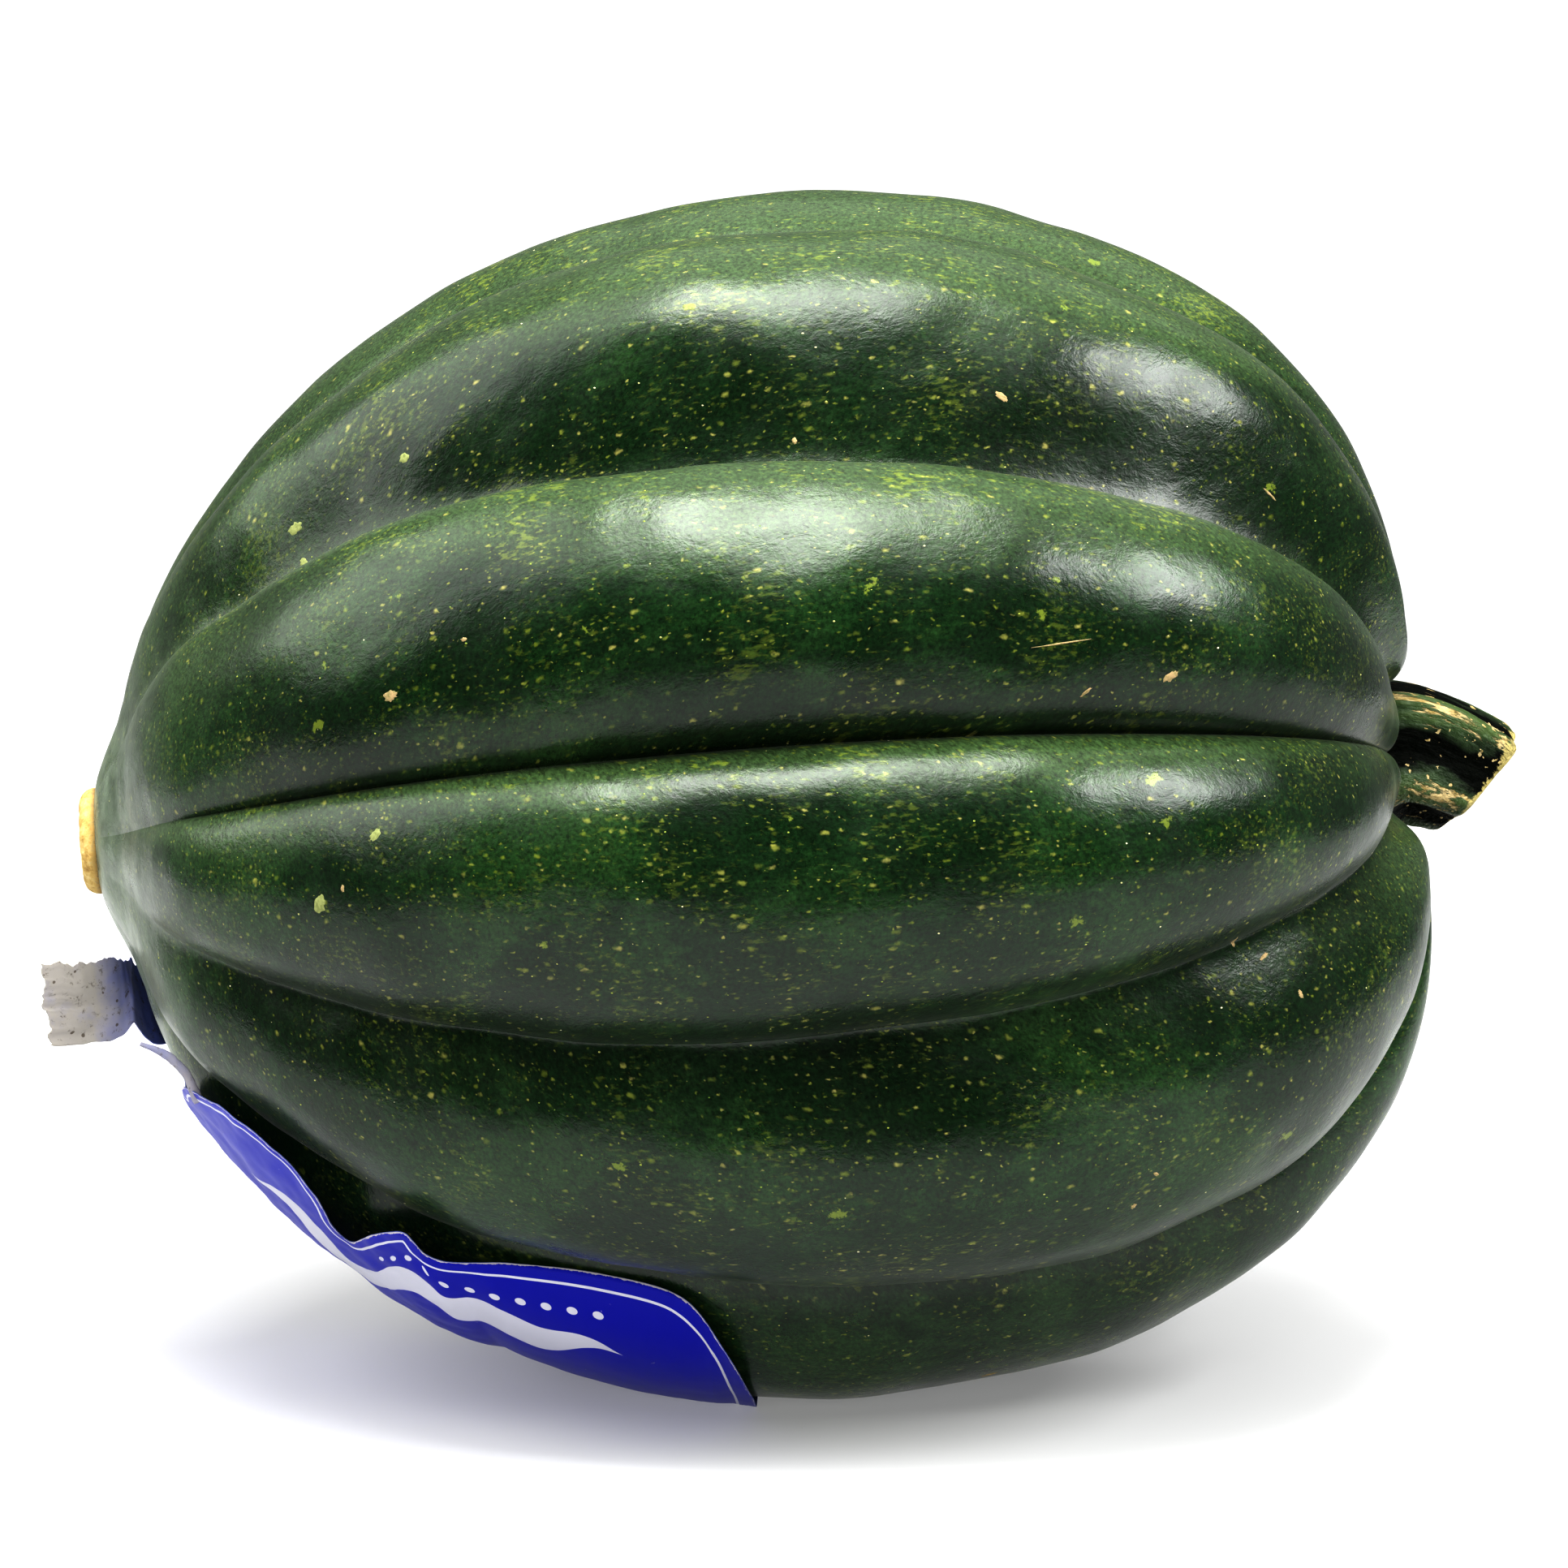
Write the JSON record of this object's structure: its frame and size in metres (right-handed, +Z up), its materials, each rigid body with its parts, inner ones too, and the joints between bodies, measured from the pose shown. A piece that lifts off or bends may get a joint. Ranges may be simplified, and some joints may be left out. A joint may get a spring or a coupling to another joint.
{
  "type": "acorn squash",
  "caption": "Whole ribbed acorn squash lying on its side, with a cut stem, a corky blossom scar and a peeling blue paper label.",
  "frame": {"origin": "centre of the footprint, on the surface that the squash rests on", "axes": "+X from the blossom end to the stem end, +Z up, -Y towards the side that carries the visible part of the label"},
  "size_m": [0.1562, 0.127, 0.1248],
  "materials": {
    "rind": "dark green waxy rind with fine yellow-green flecks, satin gloss",
    "stem": "dark green woody stem with tan corky streaks, pale cut end",
    "cork": "dry tan cork, matt",
    "label_paper": "coated blue paper, semi-gloss, worn pale where it is torn"
  },
  "bodies": {
    "root": {"squash_body": "rind", "stem": "stem", "blossom_scar": "cork", "label": "label_paper"}
  },
  "joints": []
}
